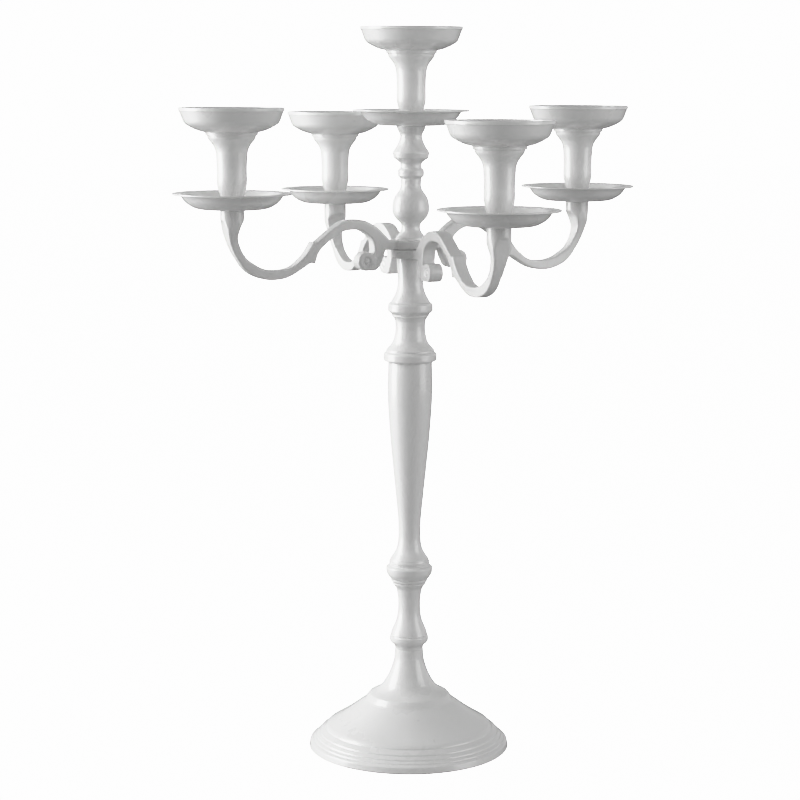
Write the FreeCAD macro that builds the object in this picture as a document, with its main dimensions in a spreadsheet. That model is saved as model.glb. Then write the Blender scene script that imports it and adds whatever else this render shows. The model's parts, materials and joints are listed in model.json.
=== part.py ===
import FreeCAD, Part
import math
import os
import Sketcher

# Five-light candelabrum in cast and turned aluminium, enamelled.
#
# The stem is a stack of hollow castings (foot, lower spindle, column, neck, upper baluster)
# threaded on one tie rod.  Two identical double-arm castings lie across each other between
# the neck and the upper baluster.  Every arm ends in a socket that carries a drip plate, a
# trumpet-shaped cup stem and a wide bowl, and the same three pieces finish the centre.
#
# Frame: origin on the floor at the middle of the foot, +Z up the stem.  The upper pair of
# arms lies along X (left is -X) and the lower pair along Y (front is -Y).  Millimetres.

doc = FreeCAD.newDocument("candelabrum")
sheet = doc.addObject("Spreadsheet::Sheet", "Sizes")

AUTO = None          # a corner rounded as far as its two runs allow
ROUND_SHARE = 0.46   # most of a run that one rounded corner may take
TOUCHING = 1e-6      # two points this close are one
ORIGIN = (-1, 1)     # a sketch's own origin point
ALL_ROUND = 360.0
UNMIRRORED = (1, 1)
MIRROR_ACROSS = (-1, 1)
MIRROR_UP = (1, -1)

# Driving dimensions.  The heights of the stack add up to 800 mm.
DRIVING = {
    "pad_thickness": 0.8,
    "foot_height": 110.5,
    "spindle_height": 101.0,
    "column_height": 223.6,
    "neck_height": 114.6,
    "hub_thickness": 9.8,
    "baluster_height": 123.7,
    "plate_floor": 2.2,
    "trumpet_height": 74.8,
    "bowl_height": 29.2,
    "plate_height": 17.2,
    # tie rod (M8) and cup studs (M6), drawn at their nominal diameters
    "rod_radius": 4.0,
    "rod_bore": 4.05,
    "stem_bore": 4.3,
    "rod_low": 52.0,
    "rod_thread_in_cup": 12.0,
    "stud_radius": 3.0,
    "stud_bore": 3.05,
    "stud_length": 24.0,
    "stud_thread_in_arm": 10.0,
    "stud_hole_spare": 0.5,
    # washer and nut under the foot's web
    "web_height": 66.0,
    "washer_radius": 12.0,
    "washer_thickness": 2.0,
    "nut_across_flats": 13.0,
    "nut_height": 6.5,
    # felt ring under the foot
    "felt_outer": 110.8,
    "felt_inner": 104.6,
    # candle socket for a 22 mm taper candle
    "candle_bore": 11.25,
    "spigot_radius": 13.0,
    "spigot_bore": 13.05,
    # arm castings
    "arm_reach": 207.5,
    "hub_radius": 22.0,
    "arm_half_width": 7.8,
    "limb_half_width": 5.9,
    "blank_width": 34.0,
    "taper_start": 115.0,
    "taper_end": 191.5,
    "clear_of_arm": 24.0,
    "socket_radius": 13.0,
    "socket_low": 36.4,
    "socket_top": 47.9,
    "trim_low": 24.0,
    "knob_reach": 55.6,
    "knob_height": -12.0,
    "knob_radius": 10.2,
    "knob_width": 16.2,
    "eye_radius": 5.0,
    "eye_depth": 1.4,
    "pip_radius": 2.3,
}

values = {}
row = 0


def put(alias, value):
    """Write one named size into the sheet."""
    global row
    row += 1
    sheet.set("A%d" % row, alias.replace("_", " "))
    sheet.set("B%d" % row, "%.4f" % value)
    sheet.setAlias("B%d" % row, alias)
    values[alias] = value


for alias, size in DRIVING.items():
    put(alias, size)


# ---------------------------------------------------------------- outlines
# An outline is a closed list of corners (name, across, up, rounding).  Across is the radius
# of a turned piece or the reach of an arm.  A coordinate is a number, which gets a cell of
# its own, or the name of a driving dimension.

FOOT = [
    ("bore_top", "stem_bore", "foot_height", 0),
    ("neck_top", 16.0, "foot_height", 0),
    ("neck", 16.6, 99.2, AUTO),
    ("flare", 21.9, 82.2, AUTO),
    ("sweep", 31.4, 66.8, AUTO),
    ("shoulder", 44.4, 60.0, 3.0),
    ("shoulder_foot", 49.0, 53.9, 0),
    ("dome_top", 50.8, 52.2, 1.2),
    ("dome", 72.9, 35.9, AUTO),
    ("dome_low", 91.1, 24.9, AUTO),
    ("rib_one_top", 93.3, 22.6, 0.6),
    ("rib_one_foot", 93.9, 21.1, 0.4),
    ("rib_two_top", 99.6, 17.3, 0.8),
    ("rib_two_foot", 100.1, 15.9, 0.4),
    ("rib_three_top", 103.6, 13.1, 0.7),
    ("rib_three_foot", 104.1, 11.8, 0.4),
    ("rib_four_top", 106.9, 9.8, 0.6),
    ("rib_four_foot", 107.4, 8.7, 0.4),
    ("lip_top", 110.9, 6.5, 2.0),
    ("lip", 112.2, 0.0, 0.6),
    ("rim_inner", 103.7, 0.0, 0),
    ("rim_inner_top", 102.7, 5.2, 1.5),
    ("hollow", 87.0, 20.4, AUTO),
    ("hollow_high", 46.6, 47.5, AUTO),
    ("hollow_top", 24.3, 62.7, AUTO),
    ("web_edge", 16.2, "web_height", 0),
    ("web", "stem_bore", "web_height", 0),
]

LOWER_SPINDLE = [
    ("bore_low", "stem_bore", 0.0, 0),
    ("seat", 15.5, 0.0, 0),
    ("knop_foot", 16.3, 4.5, AUTO),
    ("knop_low", 21.8, 9.3, AUTO),
    ("knop_high", 21.6, 15.0, 1.5),
    ("knop_line", 20.1, 16.1, 0.2),
    ("knop_line_top", 20.7, 16.9, 0.3),
    ("knop_cap", 19.5, 21.6, AUTO),
    ("taper", 14.3, 33.5, AUTO),
    ("waist_low", 12.6, 44.3, AUTO),
    ("waist_high", 12.5, 58.7, AUTO),
    ("cove", 14.8, 70.1, AUTO),
    ("ring_one_foot", 17.7, 73.8, 0.3),
    ("ring_one", 18.5, 74.8, 0.4),
    ("ring_one_top", 18.7, 76.9, 0.3),
    ("ring_two_foot", 19.8, 77.7, 0.3),
    ("ring_two", 20.5, 78.7, 0.4),
    ("ring_two_top", 20.7, 81.0, 0.3),
    ("ring_three", 22.1, 82.0, 0.4),
    ("knob_low", 25.5, 87.0, AUTO),
    ("knob_high", 26.1, 94.2, 2.0),
    ("knob_cap", 22.7, 96.5, 0.4),
    ("fillet_one", 22.7, 98.1, 0.3),
    ("fillet_line", 22.0, 98.6, 0.2),
    ("fillet_two", 22.6, 99.2, 0.3),
    ("top", 22.5, "spindle_height", 0),
    ("bore_top", "stem_bore", "spindle_height", 0),
    ("web_top", "stem_bore", 95.8, 0),
    ("hollow_top", 16.1, 88.6, AUTO),
    ("hollow_waist_top", 8.2, 68.0, AUTO),
    ("hollow_waist", 8.0, 39.2, AUTO),
    ("hollow_low", 13.6, 12.4, AUTO),
    ("web_low", "stem_bore", 5.2, 0),
]

COLUMN = [
    ("bore_low", "stem_bore", 0.0, 0),
    ("seat", 21.7, 0.0, 0),
    ("seat_top", 21.3, 2.6, 1.0),
    ("sweep", 14.5, 12.7, AUTO),
    ("waist_low", 12.5, 24.2, AUTO),
    ("waist_high", 12.5, 44.4, AUTO),
    ("swell_low", 16.9, 88.9, AUTO),
    ("swell", 22.2, 141.4, AUTO),
    ("shoulder", 25.2, 187.9, AUTO),
    ("top", 24.3, "column_height", 0),
    ("bore_top", "stem_bore", "column_height", 0),
    ("web_top", "stem_bore", 218.2, 0),
    ("hollow_top", 20.4, 212.1, 4.0),
    ("hollow_shoulder", 20.7, 187.9, AUTO),
    ("hollow_swell", 17.7, 141.4, AUTO),
    ("hollow_waist", 8.0, 44.4, AUTO),
    ("hollow_low", 8.0, 14.1, 3.0),
    ("web_low", "stem_bore", 9.1, 0),
]

NECK = [
    ("bore_low", "stem_bore", 0.0, 0),
    ("seat", 25.5, 0.0, 0),
    ("ring_low", 29.4, 1.6, 2.2),
    ("ring_high", 29.4, 9.3, 3.2),
    ("ring_top", 26.6, 11.5, 0.4),
    ("collar", 26.6, 13.5, 1.2),
    ("sweep", 19.3, 21.4, AUTO),
    ("waist", 16.2, 34.7, AUTO),
    ("swell", 17.0, 46.0, AUTO),
    ("fillet_foot", 19.2, 49.6, 0.4),
    ("fillet", 20.4, 50.4, 0.4),
    ("fillet_top", 20.7, 52.6, 0.3),
    ("bead_foot", 22.1, 53.8, 0.4),
    ("bead_low", 24.8, 56.1, 2.6),
    ("bead_high", 24.6, 63.9, 3.0),
    ("bead_top", 21.7, 66.1, 0.6),
    ("sweep_high", 15.9, 76.4, AUTO),
    ("throat", 13.9, 87.3, AUTO),
    ("top", 15.2, "neck_height", 0),
    ("bore_top", "stem_bore", "neck_height", 0),
    ("web_top", "stem_bore", 108.1, 0),
    ("hollow_top", 9.3, 103.2, 2.0),
    ("hollow_throat", 9.1, 79.4, AUTO),
    ("hollow_bead", 18.8, 60.5, AUTO),
    ("hollow_waist", 11.4, 37.7, AUTO),
    ("hollow_low", 20.2, 8.9, AUTO),
    ("web_low", "stem_bore", 5.0, 0),
]

UPPER_BALUSTER = [
    ("bore_low", "rod_bore", 0.0, 0),
    ("foot", 16.5, 0.0, 0),
    ("foot_top", 16.3, 2.5, 1.0),
    ("neck_low", 10.6, 10.4, AUTO),
    ("neck_high", 10.4, 17.0, AUTO),
    ("vase_low", 20.5, 27.0, AUTO),
    ("vase_high", 20.0, 44.1, AUTO),
    ("throat", 11.0, 56.4, AUTO),
    ("ring_cove", 11.5, 66.8, 2.0),
    ("ring_low", 14.3, 69.3, 1.4),
    ("ring_high", 14.5, 75.4, 2.0),
    ("cove_low", 11.8, 78.5, 2.0),
    ("cove_high", 11.7, 83.4, AUTO),
    ("bead_low", 19.2, 88.9, 2.2),
    ("bead_high", 20.3, 94.8, 2.6),
    ("cone", 14.3, 103.9, AUTO),
    ("waist", 11.6, 113.2, AUTO),
    ("cap_low", 15.1, 119.3, AUTO),
    ("cap", 16.1, "baluster_height", 0),
    ("bore_top", "rod_bore", "baluster_height", 0),
]


def drip_plate(hole):
    """The drip plate's outline, with a hole for the tie rod or for an arm's stud."""
    return [
        ("hole_low", hole, 0.0, 0),
        ("underside", 38.0, 0.0, AUTO),
        ("side", 49.8, 7.2, AUTO),
        ("side_top", 54.6, 14.6, 1.6),
        ("lip_under", 62.4, 15.0, 0.6),
        ("rim_low", 63.3, 15.7, 0.5),
        ("rim", 63.3, "plate_height", 0.8),
        ("lip", 53.6, 16.5, 1.4),
        ("side_inner", 48.2, 8.4, AUTO),
        ("floor", 37.2, "plate_floor", AUTO),
        ("hole_top", hole, "plate_floor", 0),
    ]


def trumpet(hole):
    """The trumpet's outline, threaded for the tie rod or for an arm's stud."""
    return [
        ("bore_low", hole, 0.0, 0),
        ("seat", 10.4, 0.0, 0),
        ("shoe", 11.4, 8.5, AUTO),
        ("belly", 16.2, 21.8, AUTO),
        ("shaft", 15.9, 43.6, AUTO),
        ("flare", 17.3, 61.4, AUTO),
        ("lip_low", 25.2, 71.6, AUTO),
        ("lip", 25.9, "trumpet_height", 0),
        ("mouth", "spigot_bore", "trumpet_height", 0),
        ("spigot_seat", "spigot_bore", 51.1, 0),
        ("hollow_top", 9.8, 51.1, 0),
        ("hollow", 9.8, 22.7, 3.0),
        ("hollow_low", hole, 14.2, 0),
    ]


BOWL = [
    ("candle_floor", 0.0, -18.9, 0),
    ("spigot_axis", 0.0, -20.7, 0),
    ("spigot_end", "spigot_radius", -20.7, 0.6),
    ("spigot", "spigot_radius", 0.0, 0),
    ("collar_foot", 27.4, 0.0, 0.7),
    ("collar", 27.9, 3.2, 0.4),
    ("underside", 34.6, 4.6, AUTO),
    ("carina", 41.8, 7.7, 1.6),
    ("turn", 50.1, 12.4, AUTO),
    ("wall", 53.0, 20.3, AUTO),
    ("rim_foot", 54.9, 25.3, 0.3),
    ("rim_low", 55.7, 25.6, 0.3),
    ("rim", 55.7, "bowl_height", 0.9),
    ("rim_inner", 53.6, "bowl_height", 0.9),
    ("wall_inner", 50.9, 19.8, AUTO),
    ("floor_turn", 46.7, 11.3, AUTO),
    ("floor", 33.4, 6.6, AUTO),
    ("socket_lip", "candle_bore", 6.6, 0),
    ("socket_floor", "candle_bore", -18.9, 0),
]

# Side view of one arm from the hub to the socket, up measured from the hub's underside.
ARM = [
    ("bar_top_axis", 0.0, "hub_thickness", 0),
    ("bar_top", 27.5, "hub_thickness", 4.0),
    ("hump_rise", 41.0, 23.4, AUTO),
    ("hump_near", 56.5, 33.6, AUTO),
    ("hump_far", 81.0, 33.8, AUTO),
    ("rise", 98.6, 22.4, AUTO),
    ("lap_root", 114.4, 10.0, 0.5),
    ("lap_tip", 117.4, 11.6, 0.8),
    ("cradle_one", 126.0, -2.4, AUTO),
    ("cradle_two", 143.4, -17.0, AUTO),
    ("cradle_three", 171.6, -18.4, AUTO),
    ("cradle_four", 196.2, -2.6, AUTO),
    ("limb", 204.6, 17.2, AUTO),
    ("undercut", 201.4, 30.8, AUTO),
    ("ledge", 194.6, 37.0, 0),
    ("socket_inner", 194.6, 40.0, 0),
    ("socket_outer", 220.4, 40.0, 0),
    ("outer_top", 217.8, 32.0, AUTO),
    ("outer_one", 211.4, 6.4, AUTO),
    ("outer_two", 194.6, -19.4, AUTO),
    ("outer_three", 172.6, -28.8, AUTO),
    ("outer_four", 147.6, -27.8, AUTO),
    ("spur_foot", 120.6, -11.2, 2.0),
    ("spur_tip", 115.6, -12.4, 0.8),
    ("spur_root", 111.6, 0.8, AUTO),
    ("rise_under", 98.4, 12.6, AUTO),
    ("hump_under_far", 82.6, 22.6, AUTO),
    ("hump_under_near", 61.5, 22.8, AUTO),
    ("eye_top", 47.6, 12.0, AUTO),
    ("eye_low", 46.4, -3.0, AUTO),
    ("knob_upper", 51.0, -7.0, 0),
    ("knob_middle", "knob_reach", "knob_height", 0),
    ("knob_lower", 55.0, -21.8, 0),
    ("curl", 42.6, -22.6, AUTO),
    ("curl_side", 35.6, -8.6, AUTO),
    ("bar_low", 33.0, 0.0, 1.5),
    ("bar_low_axis", 0.0, 0.0, 0),
]

# Half widths of the limb where it flares into the socket, seen along the arm.
FLARE = [
    ("foot", "limb_half_width", -34.0, 0),
    ("start", "limb_half_width", -6.0, AUTO),
    ("middle", 7.9, 14.0, AUTO),
    ("high", 11.8, 28.6, AUTO),
    ("socket", "socket_radius", 37.4, 1.0),
    ("above", "socket_radius", 60.0, 0),
    ("clear_above", "clear_of_arm", 60.0, 0),
    ("clear_foot", "clear_of_arm", -34.0, 0),
]

# Half widths of the arm seen from above, from beyond the hub to the foot of the limb.
TAPER = [
    ("hub_side", -1.0, "arm_half_width", 0),
    ("taper_start", "taper_start", "arm_half_width", 20.0),
    ("taper_end", "taper_end", "limb_half_width", 0),
    ("clear_end", "taper_end", "clear_of_arm", 0),
    ("clear_hub", -1.0, "clear_of_arm", 0),
]


# ---------------------------------------------------------------- sketch and feature helpers
def plane(body, role):
    """One of the body's own origin planes."""
    return [item for item in body.Origin.OriginFeatures if item.Role == role][0]


def new_sketch(body, name, role):
    """An empty sketch on one of the body's origin planes."""
    sketch = body.newObject("Sketcher::SketchObject", name)
    sketch.AttachmentSupport = [(plane(body, role), "")]
    sketch.MapMode = "FlatFace"
    return sketch


def bind(sketch, sizes):
    """Add dimensions (kind, items, alias, sign) to a sketch and tie them to the sheet."""
    constraints = []
    for kind, items, alias, sign in sizes:
        constraints.append(Sketcher.Constraint(kind, *items, values[alias] * sign))
    for index, size in zip(sketch.addConstraint(constraints), sizes):
        _, _, alias, sign = size
        sketch.setExpression("Constraints[%d]" % index, "%d * Sizes.%s" % (sign, alias))


def alias_of(prefix, coordinate, word):
    """The name of the cell that holds a coordinate."""
    if isinstance(coordinate, str):
        return coordinate
    return "%s_%s" % (prefix, word)


def corner_round(before, at, after, wanted):
    """Radius and tangent length of a corner, and the unit directions of its two runs."""
    back = before - at
    ahead = after - at
    room = ROUND_SHARE * min(back.Length, ahead.Length)
    back.normalize()
    ahead.normalize()
    half_angle = back.getAngle(ahead) / 2.0
    most = room * math.tan(half_angle)
    radius = most if wanted is AUTO else min(wanted, most)
    return radius, radius / math.tan(half_angle), back, ahead


class Outline:
    """A closed outline whose corners and roundings all have cells in the sheet."""

    def __init__(self, prefix, corners):
        self.prefix = prefix
        self.names = [name for name, _, _, _ in corners]
        self.wanted = [rounding for _, _, _, rounding in corners]
        self.aliases = []
        for name, across, up, _ in corners:
            across_alias = alias_of(prefix, across, name + "_across")
            up_alias = alias_of(prefix, up, name + "_up")
            for alias, value in ((across_alias, across), (up_alias, up)):
                if alias not in values:
                    put(alias, value)
            self.aliases.append((across_alias, up_alias))
        for index, rounding in enumerate(self.wanted):
            if rounding != 0:
                put(self.round_alias(index), self.rounded(index)[0])

    def round_alias(self, index):
        """The cell that holds a corner's radius."""
        return "%s_%s_round" % (self.prefix, self.names[index])

    def point(self, index, signs=UNMIRRORED):
        """A corner's place in the sketch."""
        across, up = self.aliases[index % len(self.aliases)]
        return FreeCAD.Vector(values[across] * signs[0], values[up] * signs[1], 0)

    def rounded(self, index, signs=UNMIRRORED):
        """A corner's radius, tangent length and run directions."""
        before = self.point(index - 1, signs)
        after = self.point(index + 1, signs)
        return corner_round(before, self.point(index, signs), after, self.wanted[index])


def draw_outline(sketch, outline, signs=UNMIRRORED):
    """Draw an outline in a sketch, every corner tied to the sheet; signs may mirror it."""
    count = len(outline.aliases)
    shapes = []
    starts = []
    ends = []
    arc_places = {}
    for index in range(count):
        at = outline.point(index, signs)
        if outline.wanted[index] == 0:
            starts.append(at)
            ends.append(at)
            continue
        radius, tangent, back, ahead = outline.rounded(index, signs)
        inward = (back + ahead).normalize()
        middle = at + inward * (math.hypot(radius, tangent) - radius)
        first = at + back * tangent
        last = at + ahead * tangent
        arc_places[index] = len(shapes)
        shapes.append(Part.Arc(first, middle, last))
        starts.append(last)
        ends.append(first)
    first_line = len(shapes)
    for index in range(count):
        shapes.append(Part.LineSegment(starts[index], ends[(index + 1) % count]))
    drawn = sketch.addGeometry(shapes)
    lines = drawn[first_line:]
    marks = [Part.Point(outline.point(index, signs)) for index in arc_places]
    corners = dict(zip(arc_places, sketch.addGeometry(marks, True) if marks else []))

    constraints = []
    sizes = []
    for index in range(count):
        line_in = lines[index - 1]
        line_out = lines[index]
        tied = (line_out, 1)
        if index in arc_places:
            arc = drawn[arc_places[index]]
            tied = (corners[index], 1)
            start, end = arc_ends(sketch, arc, ends[index])
            constraints.append(Sketcher.Constraint("Tangent", line_in, 2, arc, start))
            constraints.append(Sketcher.Constraint("Tangent", line_out, 1, arc, end))
            constraints.append(Sketcher.Constraint("PointOnObject", *tied, line_in))
            constraints.append(Sketcher.Constraint("PointOnObject", *tied, line_out))
            sizes.append(("Radius", (arc,), outline.round_alias(index), 1))
        else:
            constraints.append(Sketcher.Constraint("Coincident", line_in, 2, line_out, 1))
        across, up = outline.aliases[index]
        sizes.append(("DistanceX", ORIGIN + tied, across, signs[0]))
        sizes.append(("DistanceY", ORIGIN + tied, up, signs[1]))
    sketch.addConstraint(constraints)
    bind(sketch, sizes)


def arc_ends(sketch, arc, first):
    """Which end of an arc lies at its first tangent point."""
    if sketch.getPoint(arc, 1).distanceToPoint(first) < TOUCHING:
        return 1, 2
    return 2, 1


def new_body(label):
    """A body named after its node."""
    body = doc.addObject("PartDesign::Body", label)
    body.Label = label
    return body


def turned(label, outline):
    """A piece turned on a lathe: its outline revolved round the Z axis."""
    body = new_body(label)
    sketch = new_sketch(body, label + "_outline", "XZ_Plane")
    draw_outline(sketch, outline)
    turn = body.newObject("PartDesign::Revolution", label + "_turned")
    turn.Profile = sketch
    turn.ReferenceAxis = (sketch, ["V_Axis"])
    turn.Angle = ALL_ROUND
    return body


def circle(sketch, radius_alias, across_alias=None, up_alias=None):
    """A circle tied to the sheet, centred on the sketch's origin unless told otherwise."""
    across = values[across_alias] if across_alias else 0.0
    up = values[up_alias] if up_alias else 0.0
    centre = FreeCAD.Vector(across, up, 0)
    shape = Part.Circle(centre, FreeCAD.Vector(0, 0, 1), values[radius_alias])
    index = sketch.addGeometry(shape)
    bind(sketch, [("Radius", (index,), radius_alias, 1)])
    if across_alias is None and up_alias is None:
        sketch.addConstraint(Sketcher.Constraint("Coincident", index, 3, *ORIGIN))
        return
    for kind, alias in (("DistanceX", across_alias), ("DistanceY", up_alias)):
        if alias:
            bind(sketch, [(kind, ORIGIN + (index, 3), alias, 1)])
        else:
            sketch.addConstraint(Sketcher.Constraint(kind, *ORIGIN, index, 3, 0.0))


def disc(label, outer_alias, inner_alias, length_alias):
    """A round bar, washer or ring standing on the XY plane."""
    body = new_body(label)
    sketch = new_sketch(body, label + "_outline", "XY_Plane")
    circle(sketch, outer_alias)
    if inner_alias:
        circle(sketch, inner_alias)
    pad = body.newObject("PartDesign::Pad", label + "_length")
    pad.Profile = sketch
    pad.setExpression("Length", length_alias)
    return body


def pad(body, name, sketch, length, symmetric=False):
    """Pad a sketch by an expression, to one side or symmetrically."""
    feature = body.newObject("PartDesign::Pad", name)
    feature.Profile = sketch
    feature.SideType = "Symmetric" if symmetric else "One side"
    feature.setExpression("Length", length)


def pocket(body, name, sketch, length, symmetric=False, reverse=False):
    """Cut a sketch into a body by an expression; cuts is read when all is computed."""
    feature = body.newObject("PartDesign::Pocket", name)
    feature.Profile = sketch
    feature.SideType = "Symmetric" if symmetric else "One side"
    feature.Reversed = reverse
    feature.setExpression("Length", length)
    cuts.append(feature)


# ---------------------------------------------------------------- arm castings
def arm_casting(label):
    """One double-arm casting: a hub with two opposite scrolled arms."""
    body = new_body(label)

    side = new_sketch(body, label + "_side", "XZ_Plane")
    draw_outline(side, arm_side)
    pad(body, label + "_blank", side, "Sizes.blank_width", symmetric=True)

    above = new_sketch(body, label + "_taper", "XY_Plane")
    draw_outline(above, arm_taper)
    draw_outline(above, arm_taper, MIRROR_UP)
    pocket(body, label + "_tapered", above, "4 * Sizes.arm_reach", symmetric=True)

    end_view = new_sketch(body, label + "_flare", "YZ_Plane")
    draw_outline(end_view, arm_flare)
    draw_outline(end_view, arm_flare, MIRROR_ACROSS)
    end_view.setExpression(".AttachmentOffset.Base.z", "Sizes.taper_end")
    pocket(body, label + "_flared", end_view, "Sizes.arm_reach", reverse=True)

    socket = new_sketch(body, label + "_socket_outline", "XY_Plane")
    circle(socket, "socket_radius", "arm_reach")
    socket.setExpression(".AttachmentOffset.Base.z", "Sizes.socket_low")
    pad(body, label + "_socket", socket, "Sizes.socket_top - Sizes.socket_low")

    trim = new_sketch(body, label + "_trim_outline", "XY_Plane")
    circle(trim, "socket_radius", "arm_reach")
    circle(trim, "clear_of_arm", "arm_reach")
    trim.setExpression(".AttachmentOffset.Base.z", "Sizes.socket_top")
    pocket(body, label + "_trim", trim, "Sizes.socket_top - Sizes.trim_low")

    knob = new_sketch(body, label + "_knob_outline", "XZ_Plane")
    circle(knob, "knob_radius", "knob_reach", "knob_height")
    pad(body, label + "_knob", knob, "Sizes.knob_width", symmetric=True)

    for side_name, sign in (("near", 1), ("far", -1)):
        eye = new_sketch(body, "%s_eye_%s" % (label, side_name), "XZ_Plane")
        circle(eye, "eye_radius", "knob_reach", "knob_height")
        circle(eye, "pip_radius", "knob_reach", "knob_height")
        eye.setExpression(".AttachmentOffset.Base.z", "%d * Sizes.knob_width / 2" % sign)
        name = "%s_eye_cut_%s" % (label, side_name)
        pocket(body, name, eye, "Sizes.eye_depth", reverse=sign < 0)

    stud_hole = new_sketch(body, label + "_stud_outline", "XY_Plane")
    circle(stud_hole, "stud_bore", "arm_reach")
    stud_hole.setExpression(".AttachmentOffset.Base.z", "Sizes.socket_top")
    pocket(body, label + "_stud_hole", stud_hole, "Sizes.stud_thread_in_arm + Sizes.stud_hole_spare")

    doc.recompute()
    pair = body.newObject("PartDesign::PolarPattern", label + "_pair")
    pair.TransformMode = "Whole shape"
    pair.Axis = (above, ["N_Axis"])
    pair.Angle = ALL_ROUND
    pair.Occurrences = 2
    body.Tip = pair

    hub = new_sketch(body, label + "_hub_outline", "XY_Plane")
    circle(hub, "hub_radius")
    pad(body, label + "_hub", hub, "Sizes.hub_thickness")

    bore = new_sketch(body, label + "_bore_outline", "XY_Plane")
    circle(bore, "rod_bore")
    pocket(body, label + "_bore", bore, "4 * Sizes.hub_thickness", symmetric=True)
    return body


# ---------------------------------------------------------------- small parts
def hex_nut(label):
    """The nut on the lower end of the tie rod."""
    body = new_body(label)
    sketch = new_sketch(body, label + "_outline", "XY_Plane")
    flat_radius = values["nut_across_flats"] / 2.0
    corner_radius = flat_radius / math.cos(math.pi / 6.0)
    corners = []
    for step in range(6):
        angle = math.radians(60.0 * step)
        corners.append(FreeCAD.Vector(math.cos(angle), math.sin(angle), 0) * corner_radius)
    sides = []
    for step in range(6):
        side = Part.LineSegment(corners[step], corners[(step + 1) % 6])
        sides.append(sketch.addGeometry(side))
    rim = sketch.addGeometry(
        Part.Circle(FreeCAD.Vector(0, 0, 0), FreeCAD.Vector(0, 0, 1), flat_radius), True
    )
    sketch.addConstraint(Sketcher.Constraint("Coincident", rim, 3, *ORIGIN))
    for step in range(6):
        following = sides[(step + 1) % 6]
        sketch.addConstraint(Sketcher.Constraint("Coincident", sides[step], 2, following, 1))
        sketch.addConstraint(Sketcher.Constraint("Tangent", sides[step], rim))
    for step in range(4):
        sketch.addConstraint(Sketcher.Constraint("Equal", sides[step], sides[step + 1]))
    sketch.addConstraint(Sketcher.Constraint("PointOnObject", sides[0], 1, -1))
    index = sketch.addConstraint(Sketcher.Constraint("Radius", rim, flat_radius))
    sketch.setExpression("Constraints[%d]" % index, "Sizes.nut_across_flats / 2")
    circle(sketch, "rod_bore")
    pad(body, label + "_height", sketch, "Sizes.nut_height")
    return body


def place(body, height, reach_x="", reach_y="", turn=0.0):
    """Put a body at its place; height and reaches are expressions on the sheet."""
    axis = FreeCAD.Vector(0, 0, 1)
    body.Placement = FreeCAD.Placement(FreeCAD.Vector(), FreeCAD.Rotation(axis, turn))
    body.setExpression(".Placement.Base.z", height)
    if reach_x:
        body.setExpression(".Placement.Base.x", reach_x)
    if reach_y:
        body.setExpression(".Placement.Base.y", reach_y)
    nodes.append(body)


# ---------------------------------------------------------------- the assembly
foot_outline = Outline("foot", FOOT)
spindle_outline = Outline("spindle", LOWER_SPINDLE)
column_outline = Outline("column", COLUMN)
neck_outline = Outline("neck", NECK)
baluster_outline = Outline("baluster", UPPER_BALUSTER)
arm_side = Outline("arm", ARM)
arm_taper = Outline("taper", TAPER)
arm_flare = Outline("flare", FLARE)
bowl_outline = Outline("bowl", BOWL)
plate_outlines = {}
trumpet_outlines = {}
for kind, hole in (("centre", "rod_bore"), ("arm", "stud_bore")):
    plate_outlines[kind] = Outline("plate_" + kind, drip_plate(hole))
    trumpet_outlines[kind] = Outline("trumpet_" + kind, trumpet(hole))


def total(*names):
    """An expression that adds sizes."""
    return " + ".join("Sizes." + name for name in names)


nodes = []
cuts = []
STEM = ["pad_thickness", "foot_height"]

felt = disc("base_felt", "felt_outer", "felt_inner", "Sizes.pad_thickness")
place(felt, "0")
place(turned("foot", foot_outline), total("pad_thickness"))

WASHER_HEIGHT = "Sizes.pad_thickness + Sizes.web_height - Sizes.washer_thickness"
washer = disc("base_washer", "washer_radius", "stem_bore", "Sizes.washer_thickness")
place(washer, WASHER_HEIGHT)
place(hex_nut("base_nut"), WASHER_HEIGHT + " - Sizes.nut_height")

place(turned("lower_spindle", spindle_outline), total(*STEM))
STEM.append("spindle_height")
place(turned("column", column_outline), total(*STEM))
STEM.append("column_height")
place(turned("neck", neck_outline), total(*STEM))
STEM.append("neck_height")

LOWER_HUB = total(*STEM)
STEM.append("hub_thickness")
UPPER_HUB = total(*STEM)
place(arm_casting("lower_arms"), LOWER_HUB, turn=-90.0)
place(arm_casting("upper_arms"), UPPER_HUB)
STEM.append("hub_thickness")

place(turned("upper_baluster", baluster_outline), total(*STEM))
STEM.append("baluster_height")
CENTRE = total(*STEM)

rod_length = "%s + Sizes.plate_floor + Sizes.rod_thread_in_cup - Sizes.rod_low" % CENTRE
place(disc("tie_rod", "rod_radius", None, rod_length), "Sizes.rod_low")


def light(side, base, reach_x="", reach_y=""):
    """One light: drip plate, trumpet and bowl, with a stud below if it sits on an arm."""
    kind = "centre" if side == "centre" else "arm"
    place(turned(side + "_drip_plate", plate_outlines[kind]), base, reach_x, reach_y)
    seat = base + " + Sizes.plate_floor"
    place(turned(side + "_trumpet", trumpet_outlines[kind]), seat, reach_x, reach_y)
    top = seat + " + Sizes.trumpet_height"
    place(turned(side + "_bowl", bowl_outline), top, reach_x, reach_y)
    if kind == "arm":
        stud = disc(side + "_stud", "stud_radius", None, "Sizes.stud_length")
        place(stud, base + " - Sizes.stud_thread_in_arm", reach_x, reach_y)


UPPER_SOCKET = UPPER_HUB + " + Sizes.socket_top"
LOWER_SOCKET = LOWER_HUB + " + Sizes.socket_top"
light("centre", CENTRE)
light("left", UPPER_SOCKET, reach_x="-Sizes.arm_reach")
light("right", UPPER_SOCKET, reach_x="Sizes.arm_reach")
light("front", LOWER_SOCKET, reach_y="-Sizes.arm_reach")
light("back", LOWER_SOCKET, reach_y="Sizes.arm_reach")

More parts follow.
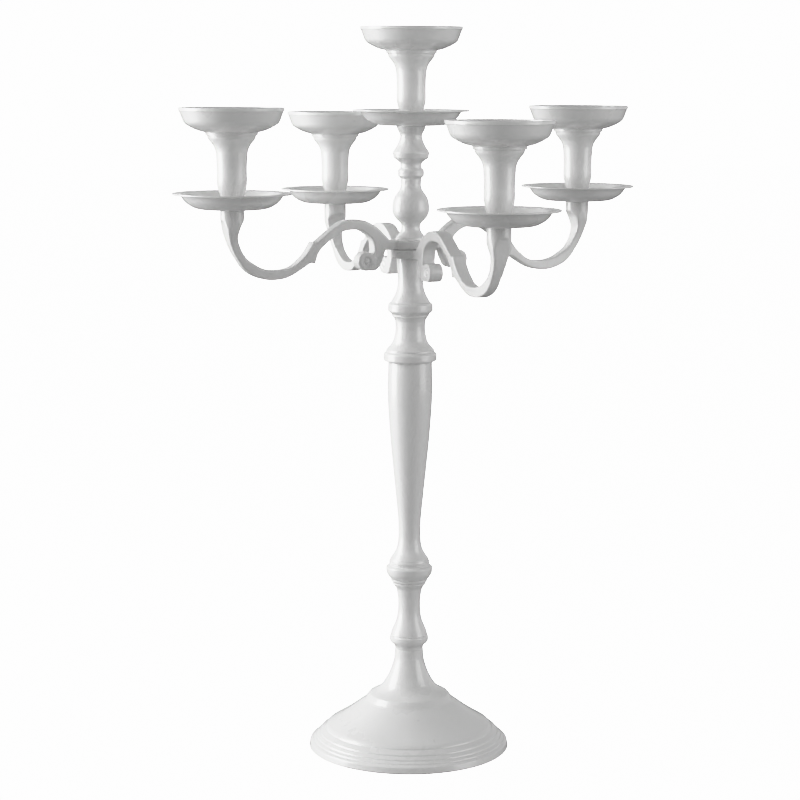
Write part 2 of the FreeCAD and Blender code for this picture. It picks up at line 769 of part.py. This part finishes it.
# ---------------------------------------------------------------- checks and files
doc.recompute()
for item in doc.Objects:
    if "Invalid" in item.State or "Error" in item.State:
        raise RuntimeError("%s failed: %s" % (item.Name, item.State))

for cut in cuts:
    if not cut.Shape.Volume < cut.BaseFeature.Shape.Volume:
        raise RuntimeError(cut.Name + " cuts nothing")

os.makedirs("parts", exist_ok=True)
for body in nodes:
    shape = body.Shape
    if shape.isNull() or not shape.isValid():
        raise RuntimeError(body.Label + " has no valid shape")
    if len(shape.Solids) != 1:
        raise RuntimeError("%s holds %d solids" % (body.Label, len(shape.Solids)))
    shape.exportStep(os.path.join("parts", body.Label + ".step"))
    print("%-20s %9.0f mm3" % (body.Label, shape.Volume))
print("nodes:", len(nodes))
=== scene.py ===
import json
import math

import bpy
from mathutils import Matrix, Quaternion, Vector


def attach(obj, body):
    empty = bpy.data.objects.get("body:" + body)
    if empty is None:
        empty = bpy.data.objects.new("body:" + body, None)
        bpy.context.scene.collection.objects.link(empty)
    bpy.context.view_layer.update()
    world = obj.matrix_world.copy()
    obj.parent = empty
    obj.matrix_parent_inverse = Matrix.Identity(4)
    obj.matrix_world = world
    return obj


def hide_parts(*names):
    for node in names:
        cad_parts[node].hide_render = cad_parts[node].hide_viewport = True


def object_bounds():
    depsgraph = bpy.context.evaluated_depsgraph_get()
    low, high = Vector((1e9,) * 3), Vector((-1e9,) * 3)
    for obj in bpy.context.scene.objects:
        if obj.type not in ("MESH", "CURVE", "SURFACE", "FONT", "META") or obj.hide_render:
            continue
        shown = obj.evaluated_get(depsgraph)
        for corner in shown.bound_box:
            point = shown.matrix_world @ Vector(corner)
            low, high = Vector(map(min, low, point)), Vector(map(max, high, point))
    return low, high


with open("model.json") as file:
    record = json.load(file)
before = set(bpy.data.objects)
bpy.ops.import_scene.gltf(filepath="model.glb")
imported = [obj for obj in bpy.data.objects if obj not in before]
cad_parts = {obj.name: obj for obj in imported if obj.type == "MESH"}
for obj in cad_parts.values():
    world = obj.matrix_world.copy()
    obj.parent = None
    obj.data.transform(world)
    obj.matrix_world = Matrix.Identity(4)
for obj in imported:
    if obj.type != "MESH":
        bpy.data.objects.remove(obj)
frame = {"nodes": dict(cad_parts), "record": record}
CAD_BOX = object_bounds()
HEIGHT = CAD_BOX[1].z


# ---------------------------------------------------------------- camera
CAMERA_AZIMUTH = math.radians(-25.36)  # from straight in front, towards the left arm
CAMERA_REACH = 2.425                   # from the stem's axis
CAMERA_HEIGHT = 0.7596
AIM_HEIGHT = 0.3929
AIM_LEFT = 0.0110                      # the stem stands a little right of the middle
CAMERA_ROLL = math.radians(0.2)        # a slight lean to the right
LENS = 100.0
CLIP_END = 50.0


def make_camera():
    """The camera, a little above the arms and looking slightly down."""
    towards_camera = Vector((math.sin(CAMERA_AZIMUTH), -math.cos(CAMERA_AZIMUTH), 0))
    left = Vector((-math.cos(CAMERA_AZIMUTH), -math.sin(CAMERA_AZIMUTH), 0))
    place = towards_camera * CAMERA_REACH + Vector((0, 0, CAMERA_HEIGHT))
    aim = left * AIM_LEFT + Vector((0, 0, AIM_HEIGHT))
    camera = bpy.data.objects.new("camera", bpy.data.cameras.new("camera"))
    camera.data.lens = LENS
    camera.data.clip_end = CLIP_END
    camera.location = place
    facing = (aim - place).to_track_quat("-Z", "Y")
    camera.rotation_euler = (facing @ Quaternion((0, 0, 1), CAMERA_ROLL)).to_euler()
    bpy.context.scene.collection.objects.link(camera)
    bpy.context.scene.camera = camera


# ---------------------------------------------------------------- studio
WHITE = (1, 1, 1, 1)
HORIZON_LIGHT = 0.67    # how strongly the surround lights the object, level and from above
ZENITH_LIGHT = 0.18
SEEN_LIGHT = 6.0        # the pale backdrop and floor, as the camera sees them
LIGHTS_AIM = 0.55       # the lights aim this far up the object
FLOOR_HALF = 12.0


def polar(azimuth, distance, height):
    """A place round the object; azimuth is in degrees from the camera, positive to its left."""
    angle = CAMERA_AZIMUTH - math.radians(azimuth)
    return Vector((math.sin(angle) * distance, -math.cos(angle) * distance, height))


def softbox(name, azimuth, distance, height, size, power):
    """A rectangular area light aimed at the middle of the object."""
    light = bpy.data.lights.new(name, "AREA")
    light.shape = "RECTANGLE"
    light.size = size[0]
    light.size_y = size[1]
    light.energy = power
    box = bpy.data.objects.new(name, light)
    box.location = polar(azimuth, distance, height)
    aim = Vector((0, 0, HEIGHT * LIGHTS_AIM))
    box.rotation_euler = (aim - box.location).to_track_quat("-Z", "Y").to_euler()
    bpy.context.scene.collection.objects.link(box)


def make_studio():
    """Soft light from the left, a weak fill from the right, and an even pale surround."""
    world = bpy.data.worlds.new("studio")
    bpy.context.scene.world = world
    world.use_nodes = True
    nodes = world.node_tree.nodes
    links = world.node_tree.links
    surround = nodes["Background"]
    place = nodes.new("ShaderNodeTexCoord")
    parts = nodes.new("ShaderNodeSeparateXYZ")
    links.new(place.outputs["Generated"], parts.inputs["Vector"])
    fade = nodes.new("ShaderNodeMapRange")         # from the horizon to straight up
    fade.inputs["To Min"].default_value = HORIZON_LIGHT
    fade.inputs["To Max"].default_value = ZENITH_LIGHT
    links.new(parts.outputs["Z"], fade.inputs["Value"])
    links.new(fade.outputs["Result"], surround.inputs["Strength"])
    surround.inputs["Color"].default_value = WHITE
    seen = nodes.new("ShaderNodeBackground")
    seen.inputs["Color"].default_value = WHITE
    seen.inputs["Strength"].default_value = SEEN_LIGHT
    mix = camera_switch(nodes, links, surround.outputs[0], seen.outputs[0])
    links.new(mix, nodes["World Output"].inputs["Surface"])

    softbox("key", 90, 2.0, 0.9, (1.2, 1.9), 55)
    softbox("fill", -70, 2.4, 0.6, (1.5, 2.4), 25)
    bpy.context.scene.view_settings.view_transform = "Khronos PBR Neutral"


def camera_switch(nodes, links, lights, shows):
    """A shader that lights the object one way and looks another way to the camera."""
    rays = nodes.new("ShaderNodeLightPath")
    mix = nodes.new("ShaderNodeMixShader")
    links.new(rays.outputs["Is Camera Ray"], mix.inputs["Fac"])
    links.new(lights, mix.inputs[1])
    links.new(shows, mix.inputs[2])
    return mix.outputs[0]


def floor_material():
    """Matt paper, slightly uneven in tone: nearly white as seen, a mid grey as it lights."""
    material, nodes, links, shader = node_material("floor_paper")
    shader.inputs["Roughness"].default_value = 0.9
    shader.inputs["Specular IOR Level"].default_value = 0.1
    place = nodes.new("ShaderNodeTexCoord")
    noise = noise_texture(nodes, links, place, 3.0, 4.0)
    tones = (0.35, 0.35, 0.35), (0.38, 0.38, 0.38)
    link_ramp(nodes, links, noise, *tones, shader.inputs["Base Color"])
    fibre = noise_texture(nodes, links, place, 900.0, 2.0)
    link_bump(nodes, links, fibre, 0.05, 0.0003, shader)

    paper = nodes.new("ShaderNodeBsdfDiffuse")
    paper.inputs["Color"].default_value = (0.97, 0.97, 0.97, 1)
    glow = nodes.new("ShaderNodeEmission")
    glow.inputs["Strength"].default_value = SEEN_LIGHT - 1.0
    lift = nodes.new("ShaderNodeAddShader")
    links.new(paper.outputs[0], lift.inputs[0])
    links.new(glow.outputs[0], lift.inputs[1])
    mix = camera_switch(nodes, links, shader.outputs[0], lift.outputs[0])
    links.new(mix, nodes["Material Output"].inputs["Surface"])
    return material


def make_floor():
    """The pale floor, wide enough to reach past every view."""
    half = FLOOR_HALF
    corners = [(-half, -half, 0), (half, -half, 0), (half, half, 0), (-half, half, 0)]
    mesh = bpy.data.meshes.new("floor")
    mesh.from_pydata(corners, [], [(0, 1, 2, 3)])
    floor = bpy.data.objects.new("floor", mesh)
    floor.data.materials.append(floor_material())
    bpy.context.scene.collection.objects.link(floor)


# ---------------------------------------------------------------- material helpers
COLOUR_SPAN = (0.3, 0.7)    # the part of a noise that a colour runs over
NUMBER_SPAN = (0.2, 0.8)    # the part of a noise that a number runs over


def node_material(name):
    """A node material with its tree's nodes, links and main shader."""
    material = bpy.data.materials.new(name)
    material.use_nodes = True
    tree = material.node_tree
    return material, tree.nodes, tree.links, tree.nodes["Principled BSDF"]


def noise_texture(nodes, links, place, scale, detail, stretch=None):
    """A noise over the object's own coordinates, stretched if asked; returns its output."""
    noise = nodes.new("ShaderNodeTexNoise")
    noise.inputs["Scale"].default_value = scale
    noise.inputs["Detail"].default_value = detail
    source = place.outputs["Object"]
    if stretch:
        mapping = nodes.new("ShaderNodeMapping")
        mapping.inputs["Scale"].default_value = stretch
        links.new(source, mapping.inputs["Vector"])
        source = mapping.outputs["Vector"]
    links.new(source, noise.inputs["Vector"])
    return noise.outputs["Fac"]


def link_ramp(nodes, links, source, low, high, target):
    """Drive a colour socket from a value between two colours."""
    ramp = nodes.new("ShaderNodeValToRGB")
    ramp.color_ramp.elements[0].position = COLOUR_SPAN[0]
    ramp.color_ramp.elements[1].position = COLOUR_SPAN[1]
    ramp.color_ramp.elements[0].color = (*low, 1)
    ramp.color_ramp.elements[1].color = (*high, 1)
    links.new(source, ramp.inputs["Fac"])
    links.new(ramp.outputs["Color"], target)


def link_range(nodes, links, source, low, high, target):
    """Drive a number socket from a value between two numbers."""
    spread = nodes.new("ShaderNodeMapRange")
    spread.inputs["From Min"].default_value = NUMBER_SPAN[0]
    spread.inputs["From Max"].default_value = NUMBER_SPAN[1]
    spread.inputs["To Min"].default_value = low
    spread.inputs["To Max"].default_value = high
    links.new(source, spread.inputs["Value"])
    links.new(spread.outputs["Result"], target)


def link_bump(nodes, links, height, strength, distance, shader, under=None):
    """Raise a surface by a height value; under is a bump that lies below it."""
    bump = nodes.new("ShaderNodeBump")
    bump.inputs["Strength"].default_value = strength
    bump.inputs["Distance"].default_value = distance
    links.new(height, bump.inputs["Height"])
    if under:
        links.new(under.outputs["Normal"], bump.inputs["Normal"])
    links.new(bump.outputs["Normal"], shader.inputs["Normal"])
    return bump


# ---------------------------------------------------------------- materials
def enamel(name, tones, gloss, make_relief):
    """White gloss enamel; make_relief adds the surface of the metal below it."""
    material, nodes, links, shader = node_material(name)
    shader.inputs["Coat Weight"].default_value = 0.6
    shader.inputs["Coat Roughness"].default_value = 0.09
    shader.inputs["Coat IOR"].default_value = 1.5
    place = nodes.new("ShaderNodeTexCoord")
    tone = noise_texture(nodes, links, place, 16.0, 4.0)
    link_ramp(nodes, links, tone, *tones, shader.inputs["Base Color"])
    link_range(nodes, links, tone, *gloss, shader.inputs["Roughness"])
    make_relief(nodes, links, place, shader)
    return material


def turned_relief(nodes, links, place, shader):
    """Faint level rings left by the lathe, under the slight orange peel of the enamel."""
    rings = noise_texture(nodes, links, place, 1.0, 3.0, stretch=(4.0, 4.0, 420.0))
    under = link_bump(nodes, links, rings, 0.14, 0.0005, shader)
    peel = noise_texture(nodes, links, place, 420.0, 2.0)
    link_bump(nodes, links, peel, 0.06, 0.0003, shader, under)


def cast_relief(nodes, links, place, shader):
    """The low lumps of a sand casting, with a finer grain between them."""
    lumps = noise_texture(nodes, links, place, 95.0, 3.0)
    under = link_bump(nodes, links, lumps, 0.30, 0.0011, shader)
    grain = noise_texture(nodes, links, place, 700.0, 2.0)
    link_bump(nodes, links, grain, 0.12, 0.0003, shader, under)


def felt():
    """Grey wool felt with loose fibres."""
    material, nodes, links, shader = node_material("wool_felt")
    shader.inputs["Sheen Weight"].default_value = 0.4
    shader.inputs["Sheen Roughness"].default_value = 0.5
    place = nodes.new("ShaderNodeTexCoord")
    fibre = noise_texture(nodes, links, place, 1400.0, 6.0)
    tones = (0.055, 0.058, 0.060), (0.12, 0.125, 0.13)
    link_ramp(nodes, links, fibre, *tones, shader.inputs["Base Color"])
    link_range(nodes, links, fibre, 0.85, 1.0, shader.inputs["Roughness"])
    link_bump(nodes, links, fibre, 0.7, 0.0006, shader)
    return material


def zinc_steel():
    """Dull zinc-plated steel with fine drawing marks."""
    material, nodes, links, shader = node_material("zinc_plate")
    shader.inputs["Metallic"].default_value = 1.0
    place = nodes.new("ShaderNodeTexCoord")
    marks = noise_texture(nodes, links, place, 60.0, 5.0, stretch=(12.0, 12.0, 1.0))
    tones = (0.50, 0.51, 0.53), (0.66, 0.67, 0.68)
    link_ramp(nodes, links, marks, *tones, shader.inputs["Base Color"])
    link_range(nodes, links, marks, 0.28, 0.48, shader.inputs["Roughness"])
    link_bump(nodes, links, marks, 0.15, 0.0002, shader)
    return material


def dress(piece, material):
    """Give a piece one material in every slot."""
    if not piece.material_slots:
        piece.data.materials.append(material)
    for place in piece.material_slots:
        place.material = material


# ---------------------------------------------------------------- cast arms
VOXEL = 0.0009          # mesh size of the castings
SOFTENING = 9           # rounds of smoothing, which soften the edges
SOFTENING_SHARE = 0.5   # how far a point moves in each round


def casting(node, body, material):
    """A cast piece on the CAD node's shape, its edges and inner corners softened as cast."""
    source = frame["nodes"][node]
    piece = bpy.data.objects.new(node + "_casting", source.data.copy())
    bpy.context.scene.collection.objects.link(piece)
    remesh = piece.modifiers.new("skin", "REMESH")
    remesh.mode = "VOXEL"
    remesh.voxel_size = VOXEL
    remesh.use_smooth_shade = True
    smooth = piece.modifiers.new("soften", "SMOOTH")
    smooth.factor = SOFTENING_SHARE
    smooth.iterations = SOFTENING
    evaluated = piece.evaluated_get(bpy.context.evaluated_depsgraph_get())
    skin = bpy.data.meshes.new_from_object(evaluated)
    piece.modifiers.clear()
    piece.data = skin
    piece.data.materials.clear()
    dress(piece, material)
    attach(piece, body)
    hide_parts(node)


# ---------------------------------------------------------------- the object
CAST_ARMS = {"lower_arms": "lower_arm_pair", "upper_arms": "upper_arm_pair"}
TURNED_TONES = (0.815, 0.815, 0.81), (0.835, 0.835, 0.833)
TURNED_GLOSS = (0.26, 0.30)
CAST_TONES = (0.77, 0.77, 0.765), (0.83, 0.83, 0.826)
CAST_GLOSS = (0.28, 0.42)


def dress_object():
    """Castings for the arms, and a material for every CAD node that stays."""
    turned_enamel = enamel("turned_enamel", TURNED_TONES, TURNED_GLOSS, turned_relief)
    cast_enamel = enamel("cast_enamel", CAST_TONES, CAST_GLOSS, cast_relief)
    by_slot = {"white_enamel": turned_enamel, "grey_felt": felt(), "zinc_steel": zinc_steel()}
    slots = {part["node"]: part["material_slot"] for part in frame["record"]["subparts"]}
    for name, node in frame["nodes"].items():
        if name not in CAST_ARMS:
            dress(node, by_slot[slots[name]])
    for node, body in CAST_ARMS.items():
        casting(node, body, cast_enamel)


make_camera()
make_studio()
make_floor()
dress_object()
